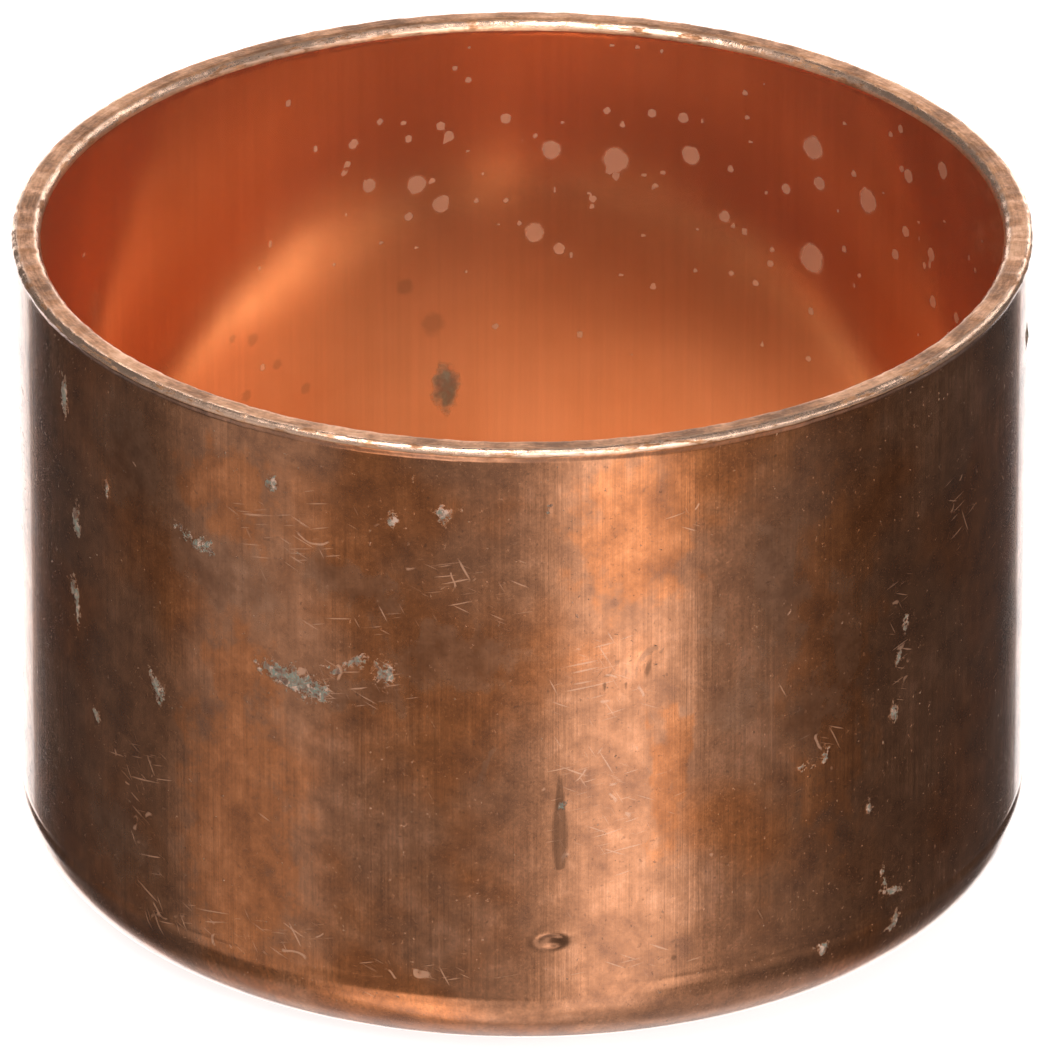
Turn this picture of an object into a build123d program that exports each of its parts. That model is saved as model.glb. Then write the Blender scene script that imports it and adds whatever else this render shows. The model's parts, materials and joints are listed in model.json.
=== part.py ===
from build123d import *
import os

# Wrought copper tube cap for nominal 2 inch copper tube (2-1/8 inch outside diameter).
# One cup, deep-drawn from a single disc of sheet, with its mouth trimmed and deburred.
# Millimetres. +Z runs up through the open mouth; the origin is the centre of the closed end's
# underside, on the surface that the cap stands on.

# Driving dimensions
bore_radius = 27.06          # solder socket: about 0.07 mm of radial clearance over the tube
wall_thickness = 1.44        # side wall
cap_height = 38.50           # from the closed end's underside to the rim
floor_thickness = 1.60       # closed end
base_corner_radius = 5.00    # outside, where the wall turns into the closed end
inner_corner_radius = 3.50   # inside, between the bore and the floor
flare_height = 1.40          # depth of the lip that the trimming tool pushed outwards
flare_width = 0.20           # how far that lip stands proud of the wall
outer_edge_radius = 0.35     # rim, outside edge
inner_edge_radius = 0.65     # rim, inside edge: the lead-in for the tube

# Dimensions that follow from them
wall_radius = bore_radius + wall_thickness
lip_radius = wall_radius + flare_width


def cap_section():
    """Half section of the cup in the XZ plane, from the axis outwards and back over the rim."""
    with BuildSketch(Plane.XZ) as section:
        with BuildLine():
            underside = Line((0, 0), (wall_radius - base_corner_radius, 0))
            base_corner = CenterArc(
                (wall_radius - base_corner_radius, base_corner_radius),
                base_corner_radius, -90, 90,
            )
            wall = Line(base_corner @ 1, (wall_radius, cap_height - flare_height))
            flare = Line(wall @ 1, (lip_radius, cap_height - outer_edge_radius))
            outer_edge = CenterArc(
                (lip_radius - outer_edge_radius, cap_height - outer_edge_radius),
                outer_edge_radius, 0, 90,
            )
            rim_face = Line(outer_edge @ 1, (bore_radius + inner_edge_radius, cap_height))
            inner_edge = CenterArc(
                (bore_radius + inner_edge_radius, cap_height - inner_edge_radius),
                inner_edge_radius, 90, 90,
            )
            bore = Line(inner_edge @ 1, (bore_radius, floor_thickness + inner_corner_radius))
            inner_corner = CenterArc(
                (bore_radius - inner_corner_radius, floor_thickness + inner_corner_radius),
                inner_corner_radius, 0, -90,
            )
            floor = Line(inner_corner @ 1, (0, floor_thickness))
            Line(floor @ 1, underside @ 0)
        make_face()
    return section.sketch


def make_cap_body():
    """The whole cap: its half section turned once round the vertical axis."""
    with BuildPart() as cap:
        add(cap_section())
        revolve(axis=Axis.Z)
    cap.part.label = "cap_body"
    return cap.part


os.makedirs("parts", exist_ok=True)
export_step(make_cap_body(), "parts/cap_body.step")
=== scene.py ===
import json
import math
import bpy
import numpy as np
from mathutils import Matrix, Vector


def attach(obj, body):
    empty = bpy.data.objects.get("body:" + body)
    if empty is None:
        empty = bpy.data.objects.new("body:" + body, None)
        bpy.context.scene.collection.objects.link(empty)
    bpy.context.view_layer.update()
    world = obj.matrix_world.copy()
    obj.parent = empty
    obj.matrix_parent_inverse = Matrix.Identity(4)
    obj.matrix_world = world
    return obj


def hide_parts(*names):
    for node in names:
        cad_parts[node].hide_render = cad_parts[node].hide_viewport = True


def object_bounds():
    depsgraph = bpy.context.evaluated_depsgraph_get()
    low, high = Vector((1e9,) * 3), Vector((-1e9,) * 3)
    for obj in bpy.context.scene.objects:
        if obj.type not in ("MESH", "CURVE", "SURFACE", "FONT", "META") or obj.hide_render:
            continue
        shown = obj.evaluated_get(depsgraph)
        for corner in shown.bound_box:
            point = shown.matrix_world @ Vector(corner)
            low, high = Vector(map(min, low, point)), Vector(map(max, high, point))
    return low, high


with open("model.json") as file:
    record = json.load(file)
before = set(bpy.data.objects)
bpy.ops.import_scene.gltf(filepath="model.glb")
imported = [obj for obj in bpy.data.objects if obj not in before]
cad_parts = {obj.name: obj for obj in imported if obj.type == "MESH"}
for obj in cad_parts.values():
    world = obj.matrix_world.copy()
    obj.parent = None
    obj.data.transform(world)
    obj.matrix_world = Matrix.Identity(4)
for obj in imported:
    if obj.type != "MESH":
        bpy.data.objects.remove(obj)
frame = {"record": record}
cad_low, cad_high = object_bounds()

# Lengths below are millimetres unless a name ends in _m. Azimuth is in degrees round the cap:
# 0 is the front (-Y), 90 is the right (+X), 180 is the back. Height is measured up from the
# underside.
MM = 0.001
FULL_TURN = 360.0
CAP_HEIGHT = cad_high.z / MM
LIP_RADIUS = cad_high.x / MM
socket = next(mount for mount in frame["record"]["mounts"] if mount["name"] == "socket")
BORE_RADIUS = socket["dims"]["r_mm"]
WALL_RADIUS = 28.50
BASE_CORNER_RADIUS = 5.00
FLOOR_THICKNESS = 1.60
INNER_CORNER_RADIUS = 3.50
FLARE_HEIGHT = 0.90
OUTER_EDGE_RADIUS = 0.35
INNER_EDGE_RADIUS = 0.65
# Inside this radius, the underside and the floor are each closed by a fan of triangles.
POLE_RADIUS = 0.60
AZIMUTH_STEPS = 900

OUTSIDE, RIM, INSIDE = 0, 1, 2

# Marks on the outer wall. Each is azimuth, height, half length, half width and the turn of its
# length from level, anticlockwise as seen from outside. First, raised green and grey corrosion.
CRUSTS = [
    (-28.0, 23.0, 1.25, 0.55, -14), (-25.5, 22.6, 1.20, 0.55, -18), (-23.4, 22.5, 0.65, 0.50, 25),
    (-16.0, 24.2, 0.40, 0.60, 0), (-18.6, 24.7, 0.55, 0.22, 30), (-21.0, 24.0, 0.60, 0.18, 10),
    (-39.6, 29.7, 0.55, 0.26, -10), (-38.0, 29.5, 0.55, 0.34, -20), (-42.0, 30.2, 0.40, 0.16, 0),
    (-63.5, 34.2, 0.40, 0.90, 0), (-61.0, 21.8, 0.40, 1.00, 15), (-46.0, 19.6, 0.32, 0.80, 25),
    (-28.8, 34.8, 0.30, 0.42, 0), (-60.6, 27.0, 0.25, 0.80, 0), (-57.0, 15.6, 0.25, 0.30, 0),
    (-14.3, 33.8, 0.26, 0.36, -30), (-8.2, 34.4, 0.42, 0.34, 0), (-54.5, 30.0, 0.14, 0.40, 15),
    (33.4, 16.4, 0.40, 0.20, 10), (35.8, 16.9, 0.22, 0.50, -15),
    (46.6, 17.8, 0.28, 0.50, 0), (47.2, 20.8, 0.20, 0.42, 0), (48.6, 22.9, 0.24, 0.40, 0),
    (42.6, 12.6, 0.20, 0.45, 0), (45.2, 7.8, 0.20, 0.55, 0), (46.6, 6.7, 0.90, 0.24, -15),
    (46.8, 4.6, 0.55, 0.28, 25), (36.0, 4.9, 0.34, 0.26, 0), (4.2, 16.4, 0.20, 0.18, 0),
    (3.0, 34.8, 0.20, 0.26, 0),
]
BACK_CRUSTS = [
    (104.0, 27.0, 1.10, 0.40, 25), (131.0, 12.0, 0.60, 0.80, 0), (172.0, 29.0, 0.90, 0.35, -30),
    (-168.0, 7.5, 0.80, 0.40, 10), (-137.0, 22.0, 1.30, 0.45, -15), (-98.0, 31.0, 0.40, 0.90, 0),
    (-112.0, 10.5, 0.50, 0.60, 0), (84.0, 33.0, 0.35, 0.80, 0),
]
# Dull brown films.
STAINS = [
    (-36.0, 28.3, 4.2, 2.0, -15), (-50.0, 33.0, 3.0, 2.6, 0), (-20.0, 29.5, 3.4, 1.3, -18),
    (-8.0, 25.5, 3.6, 1.8, 10), (-17.0, 22.8, 2.6, 0.9, 0), (30.0, 28.0, 1.5, 4.6, 0),
    (39.0, 24.0, 1.2, 4.2, 0), (24.0, 21.5, 1.8, 1.4, 0), (34.0, 19.5, 1.6, 2.2, 0),
    (14.4, 25.4, 0.22, 0.62, -15), (9.2, 24.6, 0.16, 0.34, 0), (11.6, 24.4, 0.20, 0.24, 0),
    (17.2, 6.9, 0.22, 0.22, 0), (22.5, 26.0, 0.5, 1.6, 0), (46.5, 5.8, 0.9, 0.5, 0),
    (-4.0, 19.0, 0.25, 1.3, -25), (-52.0, 9.0, 3.0, 2.0, -40),
]
# Where handling has left most of the fine scratches.
SCUFFED_AREAS = [
    (9.5, 17.0, 3.4, 4.6, 0), (8.0, 24.0, 3.2, 3.0, 0), (-47.5, 8.5, 1.5, 5.0, 15),
    (-49.0, 14.0, 2.6, 2.4, 0), (-27.0, 32.0, 4.6, 2.2, 15), (-19.0, 23.0, 4.2, 1.6, 0),
    (-7.0, 29.8, 3.2, 2.6, 0), (15.0, 6.6, 2.6, 1.0, 0), (47.5, 22.0, 1.0, 4.4, 0),
    (36.0, 17.4, 2.0, 1.4, 0), (-34.0, 6.0, 7.0, 1.4, 10), (-14.0, 27.4, 4.5, 0.9, 12),
    (60.0, 28.0, 1.6, 2.6, 0), (18.0, 33.5, 1.6, 1.2, 0), (-12.0, 5.8, 5.0, 0.7, 0),
    (100.0, 20.0, 7.0, 5.0, 0), (150.0, 24.0, 6.0, 4.0, 30), (-105.0, 17.0, 8.0, 5.0, -20),
    (-150.0, 10.0, 8.0, 3.0, 0), (125.0, 9.0, 6.0, 3.0, 20), (-80.0, 26.0, 3.0, 5.0, 0),
]
# Where the copper is bare and orange, without the pinkish tarnish.
BARE_PATCHES = [
    (-34.0, 12.0, 3.6, 9.0, 0), (-35.0, 33.5, 3.0, 3.0, 0), (13.0, 33.0, 3.4, 4.6, 0),
    (-33.5, 22.0, 2.2, 3.0, 0), (37.0, 22.0, 3.0, 10.0, 0), (16.5, 18.0, 1.0, 5.0, 0),
]
# Small dark specks of residue, and a darker brown patch over and round the dent.
RESIDUES = [
    (14.2, 24.6, 0.16, 0.50, -15), (9.2, 23.8, 0.12, 0.26, 0), (11.6, 23.7, 0.14, 0.22, 0),
    (17.2, 6.3, 0.18, 0.18, 0), (13.0, 6.4, 0.12, 0.12, 0), (3.3, 7.9, 1.25, 0.52, 4),
]
# The narrow dark wedge of residue below the middle of the front.
WEDGE_AZIMUTH = 4.2
WEDGE_TIP, WEDGE_WIDEST, WEDGE_END = 19.3, 14.8, 12.3
WEDGE_HALF_WIDTH, WEDGE_LEAST_HALF_WIDTH = 0.46, 0.02
WEDGE_BLUNTNESS = 0.25
# The dent low on the front, and the height up to which the wall's mesh is fine enough for it.
DENT = (3.2, 8.0, 0.90, 0.52, 2)
DENT_DEPTH = 0.20
DENT_TOP = 10.0
# Dried drops on the inner wall: azimuth, height and radius.
WATER_SPOTS = [
    (201, 31.6, 0.35), (199, 28.8, 0.45), (193, 28.5, 0.60), (190, 27.1, 0.55),
    (190, 32.1, 0.30), (189, 31.4, 0.35), (182, 32.4, 0.35), (176.5, 30.4, 0.60),
    (168.5, 30.0, 0.80), (164, 33.2, 0.30), (160, 33.2, 0.35), (159, 30.9, 0.60),
    (178.5, 25.1, 0.60), (175.5, 24.1, 0.40), (194, 26.5, 0.30), (142, 33.2, 0.75),
    (141, 31.1, 0.45), (146, 30.1, 0.35), (154.5, 27.4, 0.40), (133, 31.2, 0.75),
    (125.5, 34.1, 0.45), (118, 35.9, 0.55), (126, 30.5, 0.35), (128, 28.7, 0.35),
    (120.5, 30.1, 0.40), (142, 26.2, 0.90), (120, 27.2, 0.40), (114, 27.4, 0.35),
    (62, 24.0, 0.60), (38, 29.0, 0.45), (-20, 22.0, 0.70), (-48, 30.0, 0.40),
]
SMALL_SPOT_COUNT = 120
GREY_SPOTS = [
    (194.5, 22.0, 0.50), (191, 19.5, 0.66), (215, 20.6, 0.38), (211.5, 18.6, 0.32),
    (207.5, 16.6, 0.34), (216, 17.1, 0.36), (218, 21.1, 0.26), (204, 13.1, 0.30),
]
GREEN_SPOT = (189.5, 15.4, 0.62, 1.35, 0)


# ---------------------------------------------------------------- section of the cup
def line_points(start, end, steps):
    """Points from start to end, without the last one."""
    share = np.arange(steps)[:, None] / steps
    return np.array(start) * (1 - share) + np.array(end) * share


def upright_points(radius, start_height, end_height, steps):
    return line_points((radius, start_height), (radius, end_height), steps)


def arc_points(centre, radius, first_deg, last_deg, steps):
    """Points round an arc, without the last one."""
    angle = np.radians(first_deg + (last_deg - first_deg) * np.arange(steps) / steps)
    return np.array(centre) + radius * np.column_stack([np.cos(angle), np.sin(angle)])


def flare_points(start_height, steps):
    """The top of the wall, which bends gently out to the lip, without its last point."""
    share = np.arange(steps) / steps
    out = (LIP_RADIUS - WALL_RADIUS) * share ** 2 * (3 - 2 * share)
    up = (FLARE_HEIGHT - OUTER_EDGE_RADIUS) * share
    return np.column_stack([WALL_RADIUS + out, start_height + up])


def cup_section():
    """(radius, height) points from the middle of the underside, over the rim, to the middle of
    the floor, and each point's region. The rows are closer together where the shape is finer."""
    corner = (WALL_RADIUS - BASE_CORNER_RADIUS, BASE_CORNER_RADIUS)
    crease_top = BASE_CORNER_RADIUS + 1.2
    flare_start = CAP_HEIGHT - FLARE_HEIGHT
    lip_edge = (LIP_RADIUS - OUTER_EDGE_RADIUS, CAP_HEIGHT - OUTER_EDGE_RADIUS)
    mouth_edge = (BORE_RADIUS + INNER_EDGE_RADIUS, CAP_HEIGHT - INNER_EDGE_RADIUS)
    inner_corner = (BORE_RADIUS - INNER_CORNER_RADIUS, FLOOR_THICKNESS + INNER_CORNER_RADIUS)
    floor_middle = (POLE_RADIUS, FLOOR_THICKNESS)
    pieces = [
        (OUTSIDE, line_points((POLE_RADIUS, 0), (corner[0], 0), 16)),
        (OUTSIDE, arc_points(corner, BASE_CORNER_RADIUS, -90, -20, 24)),
        (OUTSIDE, arc_points(corner, BASE_CORNER_RADIUS, -20, 0, 16)),
        (OUTSIDE, upright_points(WALL_RADIUS, BASE_CORNER_RADIUS, crease_top, 10)),
        (OUTSIDE, upright_points(WALL_RADIUS, crease_top, DENT_TOP, 26)),
        (OUTSIDE, upright_points(WALL_RADIUS, DENT_TOP, flare_start, 96)),
        (OUTSIDE, flare_points(flare_start, 10)),
        (RIM, arc_points(lip_edge, OUTER_EDGE_RADIUS, 0, 90, 7)),
        (RIM, line_points((lip_edge[0], CAP_HEIGHT), (mouth_edge[0], CAP_HEIGHT), 7)),
        (RIM, arc_points(mouth_edge, INNER_EDGE_RADIUS, 90, 180, 9)),
        (INSIDE, upright_points(BORE_RADIUS, mouth_edge[1], inner_corner[1], 110)),
        (INSIDE, arc_points(inner_corner, INNER_CORNER_RADIUS, 0, -90, 20)),
        (INSIDE, line_points((inner_corner[0], FLOOR_THICKNESS), floor_middle, 20)),
        (INSIDE, np.array([floor_middle])),
    ]
    points = np.vstack([p for _, p in pieces])
    regions = np.concatenate([np.full(len(p), region) for region, p in pieces])
    return points, regions


def section_normals(points):
    """Unit normals of the section, pointing out of the metal."""
    along = np.gradient(points, axis=0)
    normal = np.column_stack([along[:, 1], -along[:, 0]])
    return normal / np.linalg.norm(normal, axis=1)[:, None]


# ---------------------------------------------------------------- fields over the surface
def smooth_step(low, high, value):
    """0 at low and 1 at high, with a smooth rise between and flat outside."""
    share = np.clip((value - low) / (high - low), 0, 1)
    return share * share * (3 - 2 * share)


def hump(value, width):
    """1 at 0, falling smoothly to nothing a few widths away."""
    return np.exp(-(value / width) ** 2)


def ring_noise(seed, cells_round, cells_along, along):
    """Smooth noise of about -1 to 1 over the surface, the same at both ends of the turn."""
    knots = np.random.default_rng(seed).uniform(-1, 1, (cells_along + 3, cells_round))
    round_at = np.arange(AZIMUTH_STEPS) / AZIMUTH_STEPS * cells_round
    along_at = along * cells_along
    round_cell = np.floor(round_at).astype(int)
    along_cell = np.floor(along_at).astype(int)
    across = smooth_step(0, 1, round_at - round_cell)
    down = smooth_step(0, 1, along_at - along_cell)[:, None]
    next_cell = (round_cell + 1) % cells_round
    first, second = knots[along_cell], knots[along_cell + 1]
    low = first[:, round_cell] * (1 - across) + first[:, next_cell] * across
    high = second[:, round_cell] * (1 - across) + second[:, next_cell] * across
    return low * (1 - down) + high * down


def wander(seed, along):
    """Noise of two sizes, for the ragged outline of a mark. It uses the next seed too."""
    return ring_noise(seed, 300, 110, along) + 0.5 * ring_noise(seed + 1, 620, 220, along)


class Surface:
    """The section swept round the axis, with what is needed to place a mark on it."""

    def __init__(self):
        self.section, self.regions = cup_section()
        self.normals = section_normals(self.section)
        steps = np.linalg.norm(np.diff(self.section, axis=0), axis=1)
        self.travel = np.concatenate([[0], np.cumsum(steps)])
        self.along = self.travel / self.travel[-1]
        self.azimuth = -FULL_TURN / 2 + FULL_TURN * np.arange(AZIMUTH_STEPS) / AZIMUTH_STEPS
        self.radius = self.section[:, 0][:, None]
        self.height = self.section[:, 1][:, None] + np.zeros(AZIMUTH_STEPS)
        self.outside = (self.regions == OUTSIDE)[:, None]
        self.rim = (self.regions == RIM)[:, None]
        self.inside = (self.regions == INSIDE)[:, None]
        self.flat_base = self.radius < WALL_RADIUS - BASE_CORNER_RADIUS
        self.wander_right = wander(21, self.along)
        self.wander_up = wander(23, self.along)

    def across(self, azimuth):
        """Distance round the outer wall from an azimuth, in millimetres."""
        turn = (self.azimuth - azimuth + FULL_TURN / 2) % FULL_TURN - FULL_TURN / 2
        return np.radians(turn) * WALL_RADIUS

    def ellipse(self, azimuth, height, half_length, half_width, turn=0, warp=0.0):
        """0 at the mark's middle and 1 at its outline. warp is how far the outline wanders."""
        right = self.across(azimuth) + warp * self.wander_right
        up = self.height - height + warp * self.wander_up
        tilt = math.radians(turn)
        lengthwise = right * math.cos(tilt) + up * math.sin(tilt)
        crosswise = up * math.cos(tilt) - right * math.sin(tilt)
        return np.hypot(lengthwise / half_length, crosswise / half_width)

    def soft_marks(self, marks, where, warp=0.0):
        """A field that is 0.5 on each mark's outline, rises to 1 inside and fades to 0 outside."""
        field = np.zeros_like(self.height)
        for mark in marks:
            field = np.maximum(field, 1 - self.ellipse(*mark, warp=warp) / 2)
        return np.clip(field, 0, 1) * (where & ~self.flat_base)


def round_marks(spots):
    return [(azimuth, height, radius, radius) for azimuth, height, radius in spots]


def scattered_spots():
    """Small dried drops, most of them high on the back of the inner wall."""
    draws = np.random.default_rng(41)
    spots = []
    for _ in range(SMALL_SPOT_COUNT):
        right_group = draws.normal(142, 16)
        left_group = draws.normal(186, 14)
        anywhere = draws.uniform(0, FULL_TURN)
        azimuth = draws.choice([right_group, left_group, anywhere], p=[0.45, 0.30, 0.25])
        height = CAP_HEIGHT - abs(draws.normal(8, 5)) - 1
        spots.append((azimuth, height, draws.uniform(0.14, 0.26)))
    return spots


def wedge_field(surface):
    """The narrow dark wedge: 0.5 on its outline."""
    height = surface.height
    growing = np.clip((WEDGE_TIP - height) / (WEDGE_TIP - WEDGE_WIDEST), 0, 1)
    closing = np.clip((height - WEDGE_END) / (WEDGE_WIDEST - WEDGE_END), 0, 1)
    half_width = WEDGE_HALF_WIDTH * growing * closing ** WEDGE_BLUNTNESS
    half_width = np.maximum(half_width, WEDGE_LEAST_HALF_WIDTH)
    off_line = np.abs(surface.across(WEDGE_AZIMUTH))
    in_reach = (height > WEDGE_END) & (height < WEDGE_TIP)
    return np.clip(1 - off_line / (2 * half_width), 0, 1) * in_reach * surface.outside


def worn_edges(surface):
    """1 where handling has burnished the outer and the inner edge of the rim."""
    near_top = smooth_step(CAP_HEIGHT - 0.55, CAP_HEIGHT - 0.20, surface.height)
    outer = smooth_step(LIP_RADIUS - 0.40, LIP_RADIUS - 0.20, surface.radius)
    inner = smooth_step(BORE_RADIUS + 0.48, BORE_RADIUS + 0.28, surface.radius)
    return np.maximum(outer, inner) * near_top * surface.rim


def surface_fields(surface):
    """Where each kind of mark is, by the name that the materials read it by."""
    outside, inside = surface.outside, surface.inside
    return {
        "crusts": np.maximum(surface.soft_marks(CRUSTS + BACK_CRUSTS, outside, 0.28),
                             surface.soft_marks([GREEN_SPOT], inside, 0.2)),
        "stains": surface.soft_marks(STAINS, outside, 0.7),
        "residue": np.maximum(surface.soft_marks(RESIDUES, outside, 0.08), wedge_field(surface)),
        "scuffs": surface.soft_marks(SCUFFED_AREAS, outside),
        "bare": surface.soft_marks(BARE_PATCHES, outside, 0.9),
        "worn_edges": worn_edges(surface),
        "spots": surface.soft_marks(round_marks(WATER_SPOTS + scattered_spots()), inside),
        "grey_spots": surface.soft_marks(round_marks(GREY_SPOTS), inside),
    }


# ---------------------------------------------------------------- shape
SLOW_WAVE, QUICK_WAVE = 0.012, 0.006
CREASE_DEPTH, CREASE_WIDTH = 0.050, 0.14
SHOULDER_RISE, SHOULDER_WIDTH, SHOULDER_BELOW_CREASE = 0.035, 0.36, 0.50
CRUST_THICKNESS = 0.10
DENT_LIP_RISE, DENT_LIP_WIDTH = 0.020, 0.16
COARSE_RAGGEDNESS, FINE_RAGGEDNESS = 0.020, 0.016
BURR_HEIGHT = 0.10


def crease_relief(surface):
    """The crease where the wall turns into the base corner, and the soft shoulder below it."""
    along = surface.along
    strength = 0.6 + 0.4 * ring_noise(3, 60, 1, along)
    off_crease = surface.height - BASE_CORNER_RADIUS - 0.10 * ring_noise(4, 14, 1, along)
    crease = -CREASE_DEPTH * hump(off_crease, CREASE_WIDTH) * strength
    shoulder = SHOULDER_RISE * hump(off_crease + SHOULDER_BELOW_CREASE, SHOULDER_WIDTH)
    return (crease + shoulder) * surface.outside


def dent_relief(surface):
    """The dent, with the metal that it pushed up round it."""
    off_middle = surface.ellipse(*DENT)
    hollow = DENT_DEPTH * np.clip(1 - off_middle ** 2, 0, 1) ** 1.5
    pushed_up = DENT_LIP_RISE * hump(off_middle - 1.12, DENT_LIP_WIDTH)
    return (pushed_up - hollow) * surface.outside


def rim_relief(surface):
    """The ragged trimmed lip and the small burrs on it."""
    along = surface.along
    near_lip = smooth_step(CAP_HEIGHT - 1.1, CAP_HEIGHT - 0.3, surface.height)
    ragged = COARSE_RAGGEDNESS * ring_noise(6, 220, 60, along)
    ragged += FINE_RAGGEDNESS * ring_noise(7, 520, 90, along)
    burrs = np.clip(ring_noise(8, 150, 1, along) - 0.45, 0, 1)
    on_top = smooth_step(CAP_HEIGHT - 0.5, CAP_HEIGHT - 0.1, surface.height)
    return near_lip * ragged + BURR_HEIGHT * burrs * on_top


def surface_relief(surface, fields):
    """How far each point of the surface stands proud of the clean cup."""
    along = surface.along
    relief = SLOW_WAVE * ring_noise(1, 9, 14, along) + QUICK_WAVE * ring_noise(2, 40, 40, along)
    relief *= (surface.outside | surface.inside)
    relief += crease_relief(surface)
    crust = smooth_step(0.5, 0.85, fields["crusts"])
    relief += CRUST_THICKNESS * crust * (0.7 + 0.5 * ring_noise(5, 700, 150, along))
    relief += dent_relief(surface) + rim_relief(surface)
    near_axis = surface.radius < 1.5
    return np.where(near_axis, 0, relief)


def build_cup():
    """The cap as one closed mesh, with its fields and its UVs."""
    surface = Surface()
    fields = surface_fields(surface)
    relief = surface_relief(surface, fields)
    radius = surface.radius + relief * surface.normals[:, 0][:, None]
    height = surface.height + relief * surface.normals[:, 1][:, None]
    height = np.maximum(height, 0)
    angle = np.radians(surface.azimuth)
    grid = np.stack([radius * np.sin(angle), -radius * np.cos(angle), height], axis=-1)
    rows, columns = height.shape
    poles = np.array([[0, 0, 0], [0, 0, FLOOR_THICKNESS]])
    vertices = np.vstack([grid.reshape(-1, 3), poles]) * MM

    index = np.arange(rows * columns).reshape(rows, columns)
    turned = np.roll(index, -1, axis=1)
    quads = np.stack([index[:-1], turned[:-1], turned[1:], index[1:]], axis=-1).reshape(-1, 4)
    underside_pole, floor_pole = rows * columns, rows * columns + 1
    base_fan = [[underside_pole, int(turned[0, i]), int(index[0, i])] for i in range(columns)]
    floor_fan = [[floor_pole, int(index[-1, i]), int(turned[-1, i])] for i in range(columns)]
    mesh = bpy.data.meshes.new("copper_cap")
    mesh.from_pydata(vertices.tolist(), [], quads.tolist() + base_fan + floor_fan)

    face_region = np.repeat(np.maximum(surface.regions[:-1], surface.regions[1:]), columns)
    face_region = np.concatenate([face_region, np.full(columns, OUTSIDE), np.full(columns, INSIDE)])
    mesh.polygons.foreach_set("material_index", face_region.astype(np.int32))
    for name, field in fields.items():
        values = np.append(field.ravel(), [0, 0]).astype(np.float32)
        mesh.attributes.new(name, "FLOAT", "POINT").data.foreach_set("value", values)
    unroll(mesh, surface, rows, columns)
    mesh.shade_smooth()
    mesh.validate()
    cup = bpy.data.objects.new("copper_cap", mesh)
    bpy.context.scene.collection.objects.link(cup)
    return cup


def unroll(mesh, surface, rows, columns):
    """UV in millimetres: round the wall and along the section. The seam is at the back outside
    and at the front inside."""
    step = FULL_TURN / columns
    left = np.tile(surface.azimuth, rows - 1)
    lower = np.repeat(surface.travel[:-1], columns)
    upper = np.repeat(surface.travel[1:], columns)
    is_inside = np.repeat(surface.regions[1:] == INSIDE, columns)
    left = np.where(is_inside & (left < 0), left + FULL_TURN, left)
    corner_azimuth = np.stack([left, left + step, left + step, left], axis=-1)
    round_the_wall = np.radians(corner_azimuth) * WALL_RADIUS
    along_section = np.stack([lower, lower, upper, upper], axis=-1)
    corners = np.stack([round_the_wall, along_section], axis=-1).reshape(-1, 2)
    fans = np.zeros((columns * 6, 2))
    layer = mesh.uv_layers.new(name="unrolled")
    layer.data.foreach_set("uv", np.vstack([corners, fans]).ravel().astype(np.float32))


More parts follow.
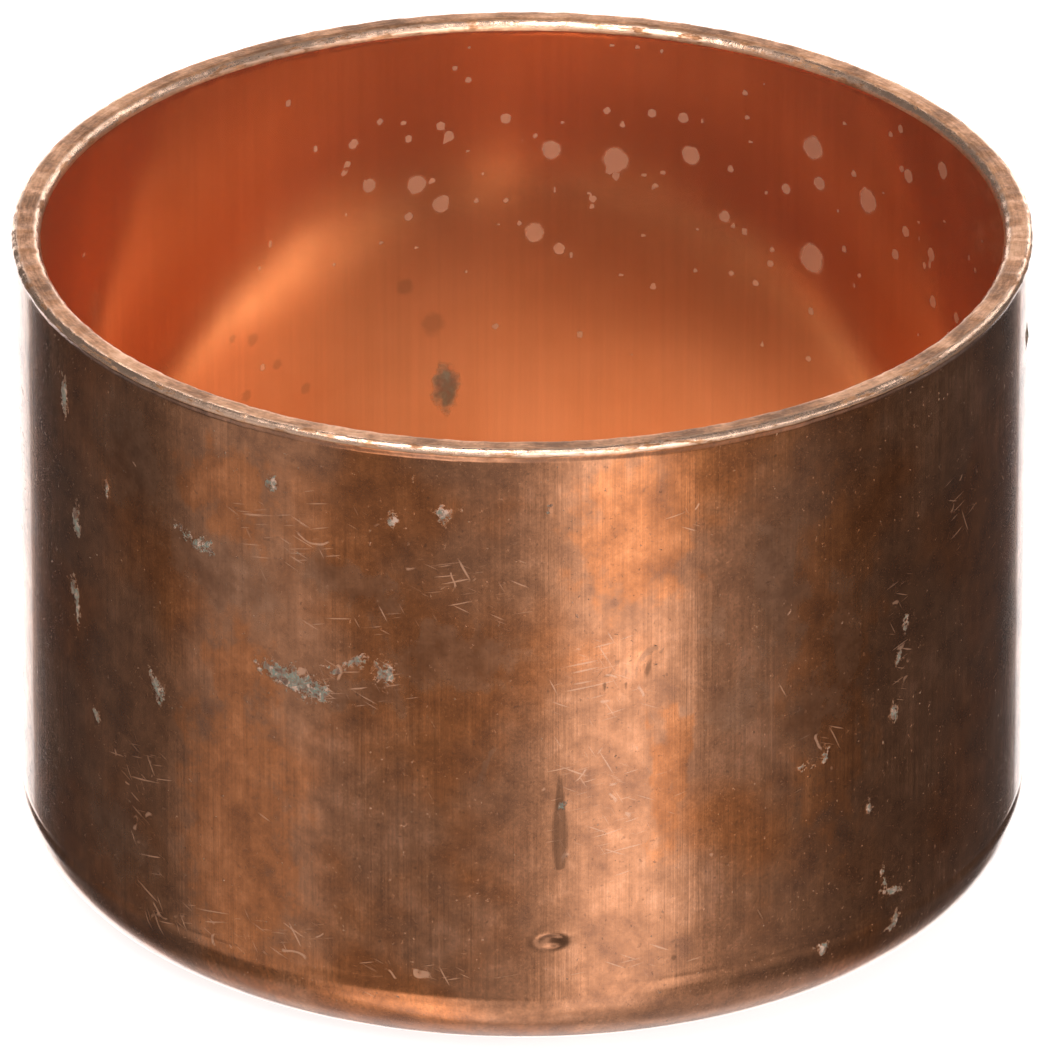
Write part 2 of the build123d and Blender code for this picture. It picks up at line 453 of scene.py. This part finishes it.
# ---------------------------------------------------------------- shader nodes
class Graph:
    """Adds nodes to a node tree. A method returns the socket that carries its result."""

    def __init__(self, tree):
        self.tree = tree

    def add(self, kind, inputs, **settings):
        node = self.tree.nodes.new(kind)
        for name, value in settings.items():
            setattr(node, name, value)
        for key, value in inputs.items():
            if isinstance(value, bpy.types.NodeSocket):
                self.tree.links.new(value, node.inputs[key])
            else:
                node.inputs[key].default_value = value
        return node

    def math(self, operation, first, second=0.0, third=0.0):
        node = self.add("ShaderNodeMath", {0: first, 1: second, 2: third}, operation=operation)
        return node.outputs[0]

    def times(self, first, second):
        return self.math("MULTIPLY", first, second)

    def highest(self, first, second):
        return self.math("MAXIMUM", first, second)

    def centred(self, noise):
        return self.math("SUBTRACT", noise, 0.5)

    def plus_share(self, base, share, value):
        """base + share * value"""
        return self.math("MULTIPLY_ADD", value, share, base)

    def blend(self, first, first_share, second, second_share):
        """first * first_share + second * second_share"""
        return self.plus_share(self.times(second, second_share), first_share, first)

    def remap(self, value, low, high, to_low=0.0, to_high=1.0, curve="SMOOTHSTEP"):
        """Turns low..high into to_low..to_high, held at the ends."""
        node = self.add("ShaderNodeMapRange", {0: value, 1: low, 2: high, 3: to_low, 4: to_high},
                        interpolation_type=curve)
        return node.outputs[0]

    def mix(self, share, first, second, blend="MIX"):
        node = self.add("ShaderNodeMix", {0: share, 6: first, 7: second},
                        data_type="RGBA", blend_type=blend)
        return node.outputs[2]

    def paint(self, base, mask, cover, paint_colour):
        """base with a colour laid over it where mask is 1. cover is how much of base it hides."""
        return self.mix(self.times(mask, cover), base, paint_colour)

    def noise(self, where, scale, detail=2.0, rough=0.5, warp=0.0):
        """Noise that mostly keeps between 0.3 and 0.7."""
        node = self.add("ShaderNodeTexNoise", {"Vector": where, "Scale": scale, "Detail": detail,
                                               "Roughness": rough, "Distortion": warp})
        return node.outputs["Fac"]

    def stretched_noise(self, where, scales, detail, rough, turn=0.0):
        """Noise with its own scale along each axis."""
        return self.noise(self.scaled(where, scales, turn), 1.0, detail, rough)

    def field(self, name):
        return self.add("ShaderNodeAttribute", {}, attribute_name=name).outputs["Fac"]

    def scaled(self, where, scales, turn=0.0):
        """where turned about Z by turn degrees, then multiplied by scales."""
        rotation = (0, 0, math.radians(turn))
        turned = self.add("ShaderNodeMapping", {"Vector": where, "Rotation": rotation})
        stretched = self.add("ShaderNodeMapping", {"Vector": turned.outputs[0], "Scale": scales})
        return stretched.outputs[0]

    def ramp(self, value, stops):
        node = self.add("ShaderNodeValToRGB", {0: value})
        elements = node.color_ramp.elements
        while len(elements) < len(stops):
            elements.new(0.5)
        for element, (place, stop_colour) in zip(elements, stops):
            element.position = place
            element.color = stop_colour
        return node.outputs[0]

    def threshold(self, soft_field, ragged, amount, softness):
        """Turns a soft field into a patch with a ragged edge."""
        shifted = self.plus_share(soft_field, amount, self.centred(ragged))
        return self.remap(shifted, 0.5 - softness, 0.5 + softness)


def colour(red, green, blue):
    return (red, green, blue, 1.0)


def copper_material(name):
    """A new material with its graph, shader and coordinates in millimetres."""
    material = bpy.data.materials.new(name)
    material.use_nodes = True
    graph = Graph(material.node_tree)
    shader = material.node_tree.nodes["Principled BSDF"]
    coordinates = graph.add("ShaderNodeTexCoord", {})
    solid = graph.scaled(coordinates.outputs["Object"], (1 / MM, 1 / MM, 1 / MM))
    unrolled = graph.add("ShaderNodeUVMap", {}, uv_map="unrolled").outputs[0]
    return material, graph, shader, solid, unrolled


def connect(graph, shader, **inputs):
    """Links sockets to the shader's inputs of the same names."""
    for name, value in inputs.items():
        graph.tree.links.new(value, shader.inputs[name.replace("_", " ")])


def squiggles(graph, unrolled, area, per_mm, half_width):
    """Thin bent lines: contour lines of a noise, cut into short pieces by another. There are more
    of them where area is near 1."""
    contour = graph.math("ABSOLUTE", graph.centred(graph.noise(unrolled, per_mm, 1.0)))
    reach = 0.8 * per_mm * half_width
    line = graph.remap(contour, reach, reach * 0.4)
    cut = graph.plus_share(graph.noise(unrolled, per_mm * 1.9, 1.0), 0.16, area)
    return graph.times(line, graph.remap(cut, 0.74, 0.80))


def scratches(graph, unrolled, area, turn, length, width):
    """Straight thin marks that all lie at about one angle. There are more where area is near 1."""
    streaks = graph.stretched_noise(unrolled, (1 / length, 1 / width, 1.0), 1.0, 0.4, turn)
    return graph.remap(graph.plus_share(streaks, 0.12, area), 0.80, 0.88)


def bumped(graph, height, depth):
    """A normal from a height of 0 to 1 that is depth millimetres deep."""
    inputs = {"Height": height, "Distance": depth * MM, "Strength": 1.0}
    return graph.add("ShaderNodeBump", inputs).outputs[0]


# ---------------------------------------------------------------- copper
OUTSIDE_COPPER = [
    (0.0, colour(0.32, 0.106, 0.038)), (0.35, colour(0.45, 0.149, 0.050)),
    (0.65, colour(0.57, 0.192, 0.065)), (1.0, colour(0.72, 0.256, 0.094)),
]
PINK_TINT = colour(0.98, 1.24, 1.80)
DARK_FILM, PALE_FILM = colour(0.22, 0.100, 0.052), colour(0.36, 0.180, 0.105)
SCRATCHED_COPPER = colour(0.82, 0.46, 0.30)
PIT_BROWN = colour(0.20, 0.085, 0.045)
RESIDUE_BROWN = colour(0.175, 0.080, 0.044)
HALO_BROWN = colour(0.22, 0.10, 0.055)
CRUST_MOTTLE = [
    (0.0, colour(0.060, 0.034, 0.022)), (0.22, colour(0.200, 0.105, 0.068)),
    (0.40, colour(0.090, 0.104, 0.078)), (0.60, colour(0.130, 0.200, 0.160)),
    (0.72, colour(0.150, 0.090, 0.060)), (1.0, colour(0.42, 0.28, 0.21)),
]
RIM_COPPER = [
    (0.0, colour(0.27, 0.120, 0.055)), (0.40, colour(0.52, 0.240, 0.115)),
    (0.70, colour(0.72, 0.350, 0.180)), (1.0, colour(0.86, 0.47, 0.27)),
]
BURNISHED_COPPER = colour(0.95, 0.62, 0.45)
INSIDE_COPPER = [
    (0.0, colour(0.79, 0.45, 0.27)), (0.5, colour(0.83, 0.50, 0.31)),
    (1.0, colour(0.87, 0.54, 0.35)),
]
# Painted shade: a darker copy of the inner copper, laid on the lower inner wall.
SHADED_LOW_WALL_COPPER = colour(0.56, 0.245, 0.115)
# Painted light: a brighter copy of the inner copper, laid on the floor and the inner corner.
LIT_FLOOR_COPPER = colour(0.98, 0.56, 0.32)
DRIED_WATER = colour(0.88, 0.66, 0.52)
DRIED_GREY = colour(0.45, 0.30, 0.22)
INSIDE_CRUST = [
    (0.38, colour(0.22, 0.105, 0.055)), (0.55, colour(0.17, 0.18, 0.12)),
    (0.7, colour(0.28, 0.33, 0.25)),
]
# Angle, length and width of each kind of straight scratch.
SCRATCH_KINDS = [(62, 2.8, 0.19), (-10, 3.6, 0.18), (24, 2.4, 0.16), (-14, 2.2, 0.15)]
SQUIGGLES_PER_MM, SQUIGGLE_HALF_WIDTH = 0.38, 0.065
# A thin clear coat stands for the glossy oxide. Crusts and residue have little or none.
OXIDE_COAT = 0.34


def tarnished_copper(graph, solid, tone, blotches, clouds, speckle, streaked):
    """The brown outer wall without its marks: streaked up and down, and pinkish in places."""
    metal = graph.ramp(graph.remap(tone, 0.36, 0.64, curve="LINEAR"), OUTSIDE_COPPER)
    pinkness = graph.remap(graph.noise(solid, 0.09, 4.0, 0.5), 0.37, 0.55)
    bare = graph.threshold(graph.field("bare"), clouds, 1.0, 0.22)
    pinkness = graph.times(pinkness, graph.remap(bare, 0.0, 1.0, 1.0, 0.15))
    metal = graph.mix(pinkness, metal, graph.mix(1.0, metal, PINK_TINT, "MULTIPLY"))
    streak_depth = graph.remap(blotches, 0.42, 0.58, 0.25, 1.0)
    streak_shade = graph.remap(streaked, 0.36, 0.64, -0.20, 0.16, "LINEAR")
    grain = graph.remap(speckle, 0.32, 0.68, 0.91, 1.08, "LINEAR")
    shade = graph.times(graph.math("MULTIPLY_ADD", streak_shade, streak_depth, 1.0), grain)
    return graph.mix(1.0, metal, shade, "MULTIPLY")


def crusted(graph, solid, metal, crust):
    """metal with the mottled corrosion over it, and a brown halo round each crust."""
    halo = graph.remap(graph.field("crusts"), 0.22, 0.60)
    mottle = graph.remap(graph.noise(solid, 2.0, 4.0, 0.7, 0.8), 0.40, 0.60, curve="LINEAR")
    metal = graph.paint(metal, halo, 0.30, HALO_BROWN)
    return graph.paint(metal, crust, 0.92, graph.ramp(mottle, CRUST_MOTTLE))


def outside_material():
    material, graph, shader, solid, unrolled = copper_material("aged_copper_outside")
    blotches = graph.noise(solid, 0.16, 5.0, 0.60, 0.6)
    clouds = graph.noise(solid, 0.60, 5.0, 0.66)
    speckle = graph.noise(solid, 5.5, 3.0, 0.6)
    ragged = graph.noise(solid, 3.4, 4.0, 0.72)
    streaks = graph.stretched_noise(solid, (3.2, 3.2, 0.045), 3.0, 0.65)
    fine_streaks = graph.stretched_noise(solid, (9.0, 9.0, 0.12), 2.0, 0.6)
    tone = graph.blend(clouds, 0.55, blotches, 0.45)
    streaked = graph.blend(streaks, 0.6, fine_streaks, 0.4)

    film = graph.threshold(graph.field("stains"), clouds, 1.2, 0.16)
    film_colour = graph.mix(graph.remap(clouds, 0.35, 0.65), DARK_FILM, PALE_FILM)
    area = graph.remap(graph.field("scuffs"), 0.15, 0.75)
    scuffs = squiggles(graph, unrolled, area, SQUIGGLES_PER_MM, SQUIGGLE_HALF_WIDTH)
    for turn, length, width in SCRATCH_KINDS:
        scuffs = graph.highest(scuffs, scratches(graph, unrolled, area, turn, length, width))
    pits = graph.remap(graph.noise(solid, 3.2, 2.0, 0.5), 0.67, 0.74)
    residue = graph.threshold(graph.field("residue"), speckle, 0.40, 0.16)
    crust = graph.threshold(graph.field("crusts"), ragged, 2.4, 0.16)

    metal = tarnished_copper(graph, solid, tone, blotches, clouds, speckle, streaked)
    metal = graph.paint(metal, film, 0.50, film_colour)
    metal = graph.paint(metal, scuffs, 0.56, SCRATCHED_COPPER)
    metal = graph.paint(metal, pits, 0.45, PIT_BROWN)
    metal = graph.paint(metal, residue, 0.75, RESIDUE_BROWN)
    metal = crusted(graph, solid, metal, crust)

    roughness = graph.remap(tone, 0.36, 0.64, 0.268, 0.202, "LINEAR")
    roughness = graph.plus_share(roughness, 0.07, film)
    roughness = graph.plus_share(roughness, 0.15, scuffs)
    roughness = graph.plus_share(roughness, 0.16, graph.centred(speckle))
    roughness = graph.highest(roughness, graph.times(crust, 0.7))
    dull = graph.highest(graph.times(crust, 0.88), graph.times(scuffs, 0.12))
    metallic = graph.math("SUBTRACT", 0.98, dull)
    covered = graph.highest(crust, graph.times(residue, 0.80))
    coat = graph.plus_share(OXIDE_COAT, -OXIDE_COAT, covered)
    relief = graph.blend(streaked, 0.6, speckle, 0.25)
    relief = graph.plus_share(relief, 3.0, graph.times(crust, ragged))
    connect(graph, shader, Base_Color=metal, Roughness=roughness, Metallic=metallic,
            Coat_Weight=coat, Normal=bumped(graph, relief, 0.012))
    shader.inputs["Coat Roughness"].default_value = 0.04
    shader.inputs["Coat IOR"].default_value = 1.5
    return material


def rim_material():
    material, graph, shader, solid, unrolled = copper_material("worn_copper_rim")
    patches = graph.noise(solid, 0.22, 4.0, 0.6)
    grain = graph.stretched_noise(unrolled, (0.9, 6.0, 1.0), 4.0, 0.65)
    pits = graph.noise(solid, 5.0, 3.0, 0.6)
    chips = graph.stretched_noise(unrolled, (0.55, 2.0, 1.0), 4.0, 0.7)
    wear = graph.plus_share(graph.blend(grain, 0.32, patches, 0.73), 0.22, graph.centred(pits))
    burnished = graph.times(graph.field("worn_edges"), graph.remap(chips, 0.38, 0.50))

    metal = graph.ramp(graph.remap(wear, 0.42, 0.66, curve="LINEAR"), RIM_COPPER)
    metal = graph.mix(burnished, metal, BURNISHED_COPPER)
    roughness = graph.plus_share(graph.remap(wear, 0.42, 0.66, 0.50, 0.36), -0.22, burnished)
    metallic = graph.plus_share(0.76, 0.19, burnished)
    relief = graph.blend(grain, 0.6, pits, 0.4)
    connect(graph, shader, Base_Color=metal, Roughness=roughness, Metallic=metallic,
            Normal=bumped(graph, relief, 0.04))
    return material


def inside_material():
    material, graph, shader, solid, _ = copper_material("bright_copper_inside")
    clouds = graph.noise(solid, 0.12, 4.0, 0.55)
    streaks = graph.stretched_noise(solid, (2.6, 2.6, 0.05), 3.0, 0.6)
    speckle = graph.noise(solid, 3.5, 3.0, 0.6)
    ragged = graph.noise(solid, 1.8, 3.0, 0.6)
    height = graph.add("ShaderNodeSeparateXYZ", {0: solid}).outputs["Z"]
    # Painted shade mask: 0 at 13 mm, rising to 1 at 7 mm and below.
    low_wall_shade = graph.remap(height, 13.0, 7.0)
    floor_and_corner = graph.remap(height, 4.8, 3.2)
    floor = graph.remap(height, 2.6, 1.7)
    spot = graph.threshold(graph.field("spots"), ragged, 0.30, 0.08)
    grey = graph.threshold(graph.field("grey_spots"), ragged, 0.5, 0.20)
    crust = graph.threshold(graph.field("crusts"), ragged, 0.6, 0.22)

    metal = graph.ramp(graph.remap(clouds, 0.34, 0.66, curve="LINEAR"), INSIDE_COPPER)
    # Painted shade: the inner wall is painted darker from 13 mm down.
    metal = graph.mix(low_wall_shade, metal, SHADED_LOW_WALL_COPPER)
    # Painted light: the floor and the inner corner are painted brighter. The same mask also makes
    # them rougher further down.
    metal = graph.mix(floor_and_corner, metal, LIT_FLOOR_COPPER)
    shade = graph.remap(streaks, 0.34, 0.66, 0.965, 1.025, "LINEAR")
    metal = graph.mix(1.0, metal, shade, "MULTIPLY")
    metal = graph.paint(metal, spot, 0.50, DRIED_WATER)
    metal = graph.paint(metal, grey, 0.45, DRIED_GREY)
    crust_colour = graph.ramp(graph.noise(solid, 1.2, 3.0, 0.6), INSIDE_CRUST)
    metal = graph.paint(metal, crust, 0.8, crust_colour)

    roughness = graph.remap(clouds, 0.34, 0.66, 0.175, 0.135, "LINEAR")
    for mask, rougher in ((floor_and_corner, 0.10), (floor, 0.42), (spot, 0.14), (crust, 0.5)):
        roughness = graph.plus_share(roughness, rougher, mask)
    dull = graph.highest(crust, graph.times(spot, 0.60))
    metallic = graph.math("SUBTRACT", 0.95, graph.times(dull, 0.3))
    relief = graph.blend(streaks, 0.5, speckle, 0.3)
    connect(graph, shader, Base_Color=metal, Roughness=roughness, Metallic=metallic,
            Normal=bumped(graph, relief, 0.0025))
    return material


cup = build_cup()
for material in (outside_material(), rim_material(), inside_material()):
    cup.data.materials.append(material)
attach(cup, "root")
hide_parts("cap_body")

# ---------------------------------------------------------------- camera
CAMERA_DISTANCE = 1100.0
CAMERA_ELEVATION = math.radians(26.45)
IMAGE_HEIGHT = 1050
PIXELS_PER_MM = 17.66
AIM_RIGHT, AIM_UP = 0.10, 0.40

sight = Vector((0, math.cos(CAMERA_ELEVATION), -math.sin(CAMERA_ELEVATION)))
picture_up = Vector((0, math.sin(CAMERA_ELEVATION), math.cos(CAMERA_ELEVATION)))
middle = Vector((0, 0, CAP_HEIGHT / 2)) + Vector((AIM_RIGHT, 0, 0)) + picture_up * AIM_UP
camera_data = bpy.data.cameras.new("camera")
camera = bpy.data.objects.new("camera", camera_data)
bpy.context.scene.collection.objects.link(camera)
camera.location = (middle - sight * CAMERA_DISTANCE) * MM
camera.rotation_euler = sight.to_track_quat("-Z", "Y").to_euler()
camera_data.sensor_fit = "VERTICAL"
camera_data.sensor_height = 36
camera_data.lens = PIXELS_PER_MM * CAMERA_DISTANCE * camera_data.sensor_height / IMAGE_HEIGHT
bpy.context.scene.camera = camera

# ---------------------------------------------------------------- studio
# Softboxes and white boards round the cap, as the polished copper sees them: middle azimuth and
# half width, lowest and highest elevation, softness of the edges, and brightness.
PANELS = [
    ("right softbox", 23, 13, -60, 16, 14, 1.42),
    ("right softbox top", 20, 16, 20, 40, 8, 4.00),
    ("glow round it", 32, 36, -50, 34, 40, 0.27),
    ("left strip", -65, 17, -45, 14, 20, 0.44),
    ("front board", -24, 30, -45, 8, 14, 0.20),
    ("left dim board", -104, 14, -45, 14, 16, 0.05),
    ("left upper board", -60, 24, 28, 44, 16, 0.50),
    ("right upper board", 127, 24, 29, 41, 10, 2.20),
    ("back window", -165, 10, 38, 52, 6, 3.60),
    ("back right board", 160, 28, 9, 21, 8, 2.30),
    ("horizon board", 25, 60, 9, 21, 8, 1.70),
    ("overhead softbox", -31, 25, 43, 62, 10, 4.6),
    ("overhead softbox top", -36, 31, 62, 82, 10, 7.8),
    ("front high board", 44, 24, 58, 82, 12, 1.0),
    ("overhead board", -20, 78, 42, 76, 16, 0.20),
    ("white backdrop", -177.5, 24.5, -46, 12, 3, 1.80),
    ("upper room", 0, 181, 4, 91, 12, 0.11),
    ("lower room", 0, 181, -91, 4, 12, 0.076),
    ("table", 0, 181, -91, -54, 10, 0.43),
    ("table front", 0, 45, -86, -54, 14, 0.34),
    ("table behind", 180, 42, -86, -44, 20, 0.42),
    ("table highlight", -37, 21, -80, -50, 16, 1.25),
]


def above(graph, value, limit, edge):
    """0 to 1 as value rises past limit, over a soft edge."""
    return graph.remap(value, limit - edge / 2, limit + edge / 2)


def below(graph, value, limit, edge):
    """1 to 0 as value rises past limit, over a soft edge."""
    return graph.remap(value, limit + edge / 2, limit - edge / 2)


def studio_world():
    """The panels, as light from all round. Only the camera sees plain white instead of them."""
    world = bpy.data.worlds.new("studio")
    world.use_nodes = True
    graph = Graph(world.node_tree)
    direction = graph.add("ShaderNodeTexCoord", {}).outputs["Generated"]
    parts = graph.add("ShaderNodeSeparateXYZ", {0: direction}).outputs
    azimuth = graph.math("DEGREES", graph.math("ARCTAN2", parts["X"], graph.times(parts["Y"], -1.0)))
    elevation = graph.math("DEGREES", graph.math("ARCSINE", parts["Z"]))
    light = 0.0
    for _, middle_azimuth, half_width, low, high, edge, strength in PANELS:
        turn = graph.math("SUBTRACT", azimuth, middle_azimuth)
        turn = graph.math("WRAP", turn, FULL_TURN / 2, -FULL_TURN / 2)
        across = below(graph, graph.math("ABSOLUTE", turn), half_width, edge)
        upward = graph.times(above(graph, elevation, low, edge), below(graph, elevation, high, edge))
        light = graph.plus_share(light, strength, graph.times(upward, across))
    seen = graph.add("ShaderNodeLightPath", {}).outputs["Is Camera Ray"]
    shown = graph.mix(seen, light, colour(1.0, 1.0, 1.0))
    graph.tree.links.new(shown, world.node_tree.nodes["Background"].inputs["Color"])
    bpy.context.scene.world = world


def pale_floor():
    """A white table top. The copper is lit past it, so that it mirrors the studio instead."""
    half_m = 3.0
    corners = [(-half_m, -half_m, 0), (half_m, -half_m, 0), (half_m, half_m, 0), (-half_m, half_m, 0)]
    mesh = bpy.data.meshes.new("floor")
    mesh.from_pydata(corners, [], [(0, 1, 2, 3)])
    floor = bpy.data.objects.new("floor", mesh)
    bpy.context.scene.collection.objects.link(floor)
    material = bpy.data.materials.new("floor")
    material.use_nodes = True
    shader = material.node_tree.nodes["Principled BSDF"]
    shader.inputs["Base Color"].default_value = colour(0.6, 0.6, 0.6)
    shader.inputs["Roughness"].default_value = 0.9
    shader.inputs["Emission Color"].default_value = colour(1, 1, 1)
    shader.inputs["Emission Strength"].default_value = 0.80
    mesh.materials.append(material)
    floor.visible_glossy = False
    floor.visible_shadow = False


studio_world()
pale_floor()
scene = bpy.context.scene
scene.view_settings.view_transform = "Standard"
scene.cycles.use_denoising = True
scene.cycles.max_bounces = 16
scene.cycles.glossy_bounces = 12
